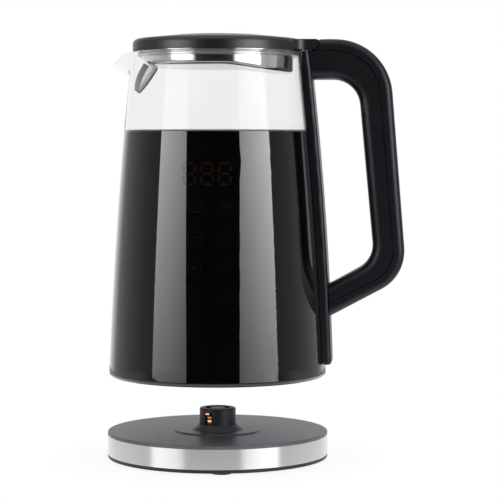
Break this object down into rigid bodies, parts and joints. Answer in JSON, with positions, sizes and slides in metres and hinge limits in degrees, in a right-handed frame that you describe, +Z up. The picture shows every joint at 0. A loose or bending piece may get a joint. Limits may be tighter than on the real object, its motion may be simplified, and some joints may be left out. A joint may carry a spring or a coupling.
{
  "type": "electric glass kettle",
  "caption": "Cordless electric kettle: clear glass top over a gloss black body, pouring lip, D handle, hinged lid, and a separate round power base with a centre plug.",
  "frame": {"origin": "centre of the round pad under the power base, on the kettle's upright axis, level with the soles of the rubber feet", "axes": "+Z up; +X towards the handle, so the pouring lip is at -X; the control panel faces -Y"},
  "size_m": [0.2046, 0.1532, 0.2911],
  "materials": {
    "clear_glass": "clear borosilicate glass",
    "gloss_black": "piano-black gloss",
    "satin_black": "satin moulded plastic",
    "base_grey": "satin moulded plastic",
    "inner_plastic": "moulded plastic",
    "clear_silicone": "translucent silicone",
    "rubber_black": "matt rubber",
    "polished_steel": "polished stainless steel",
    "inner_steel": "stainless steel",
    "brushed_band": "brushed round the ring",
    "screw_steel": "zinc-plated",
    "spring_steel": "spring wire",
    "element_metal": "dark oxide sheath",
    "aluminium": "cast",
    "copper": "copper alloy",
    "circuit_board": "green solder mask",
    "display_amber": "unlit amber segments",
    "strainer_grey": "satin grey plastic",
    "strainer_steel": "perforated sheet"
  },
  "bodies": {
    "kettle": {"glass_jug": "clear_glass", "body_shell": "gloss_black", "shell_gasket": "clear_silicone", "heating_plate": "inner_steel", "plate_clamp_ring": "inner_steel", "plate_seal": "clear_silicone", "heat_diffuser": "aluminium", "heating_element": "element_metal", "dry_boil_cutouts": "inner_plastic", "temperature_sensor": "inner_steel", "sensor_seal": "clear_silicone", "chassis_ring": "inner_plastic", "bottom_cover": "inner_plastic", "bottom_screws": "screw_steel", "power_socket": "inner_plastic", "control_board": "circuit_board", "power_relay": "inner_plastic", "display_carrier": "inner_plastic", "display_board": "circuit_board", "led_display": "display_amber", "touch_film": "display_amber", "handle_spine": "satin_black", "handle_screws": "screw_steel", "hinge_pin": "screw_steel", "handle_grip": "satin_black", "handle_cover": "satin_black", "button_spring": "spring_steel", "strainer_frame": "strainer_grey", "strainer_mesh": "strainer_steel"},
    "lid": {"lid_cover": "satin_black", "lid_plate": "inner_plastic", "lid_screws": "screw_steel", "lid_liner": "polished_steel", "lid_seal": "clear_silicone"},
    "button": {"lid_button": "satin_black"},
    "contact_ring": {"socket_contact_ring": "copper"},
    "base": {"base_feet": "rubber_black", "base_bottom": "inner_plastic", "base_band": "brushed_band", "base_top": "base_grey", "base_screws": "screw_steel", "cord_gland": "rubber_black", "base_plug": "base_grey", "plug_contacts": "copper", "plug_centre": "base_grey"}
  },
  "joints": [
    {"name": "kettle_turn", "type": "hinge", "parent": "kettle", "child": "contact_ring", "pos_m": [0, 0, 0.07], "axis": [0, 0, 1], "continuous": true},
    {"name": "kettle_lift", "type": "slide", "parent": "contact_ring", "child": "base", "axis": [0, 0, -1], "range_m": [-0.038, 0.06]},
    {"name": "lid_hinge", "type": "hinge", "parent": "kettle", "child": "lid", "pos_m": [0.068, 0, 0.2852], "axis": [0, 1, 0], "range_deg": [0, 80]},
    {"name": "button_press", "type": "slide", "parent": "kettle", "child": "button", "axis": [0, 0, -1], "range_m": [0, 0.0025], "stiffness_N_per_m": 400, "deforming": ["button_spring"]}
  ]
}
